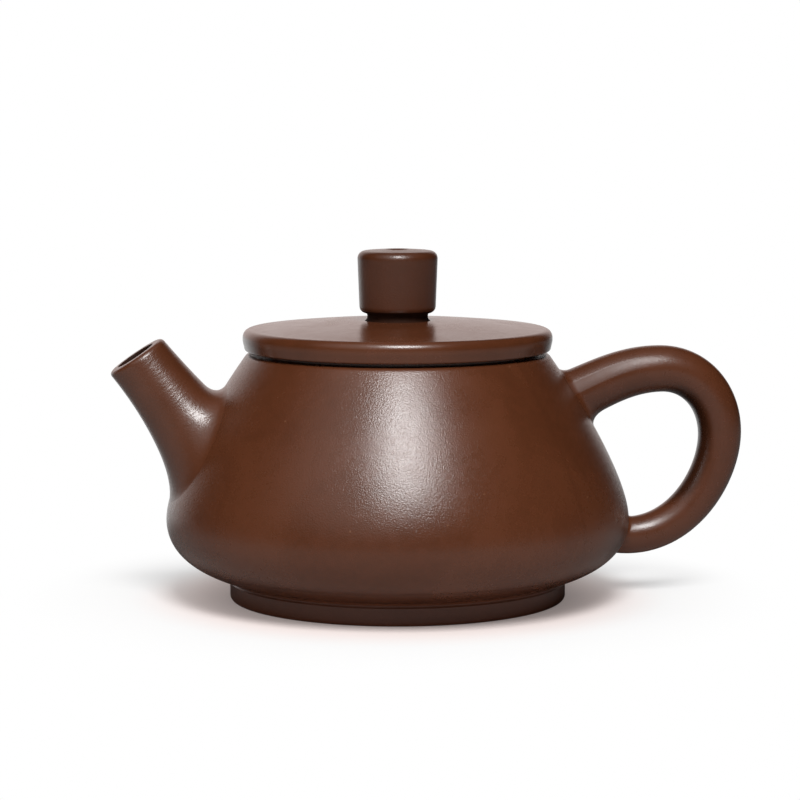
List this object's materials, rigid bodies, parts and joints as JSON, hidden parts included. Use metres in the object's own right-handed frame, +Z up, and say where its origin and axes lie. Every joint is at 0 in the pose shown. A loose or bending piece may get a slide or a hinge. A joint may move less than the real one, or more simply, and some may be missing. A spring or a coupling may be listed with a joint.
{
  "type": "teapot",
  "caption": "Low round clay teapot with a tapering body, short straight spout, round loop handle, foot ring and a nearly flat lift-off lid with a cylindrical knob.",
  "frame": {"origin": "under the middle of the whole pot, spout and handle included, on the surface it stands on", "axes": "+X towards the handle, -X towards the spout, +Z up; the pot is alike on both sides of the XZ plane, and its own round axis stands at X = -7.13 mm"},
  "size_m": [0.1398, 0.102, 0.0771],
  "materials": {
    "clay": "unglazed red-brown stoneware, burnished to a soft sheen with a fine grain"
  },
  "bodies": {
    "pot": {"base_disc": "clay", "body_wall": "clay", "shoulder_ring": "clay", "foot_ring": "clay", "spout": "clay", "ball_strainer": "clay", "handle": "clay"},
    "lid": {"lid_disc": "clay", "lid_flange": "clay", "knob_neck": "clay", "knob": "clay"}
  },
  "joints": [
    {"name": "lid_lift", "type": "slide", "parent": "pot", "child": "lid", "axis": [0, 0, 1], "range_m": [0, 0.06]}
  ]
}
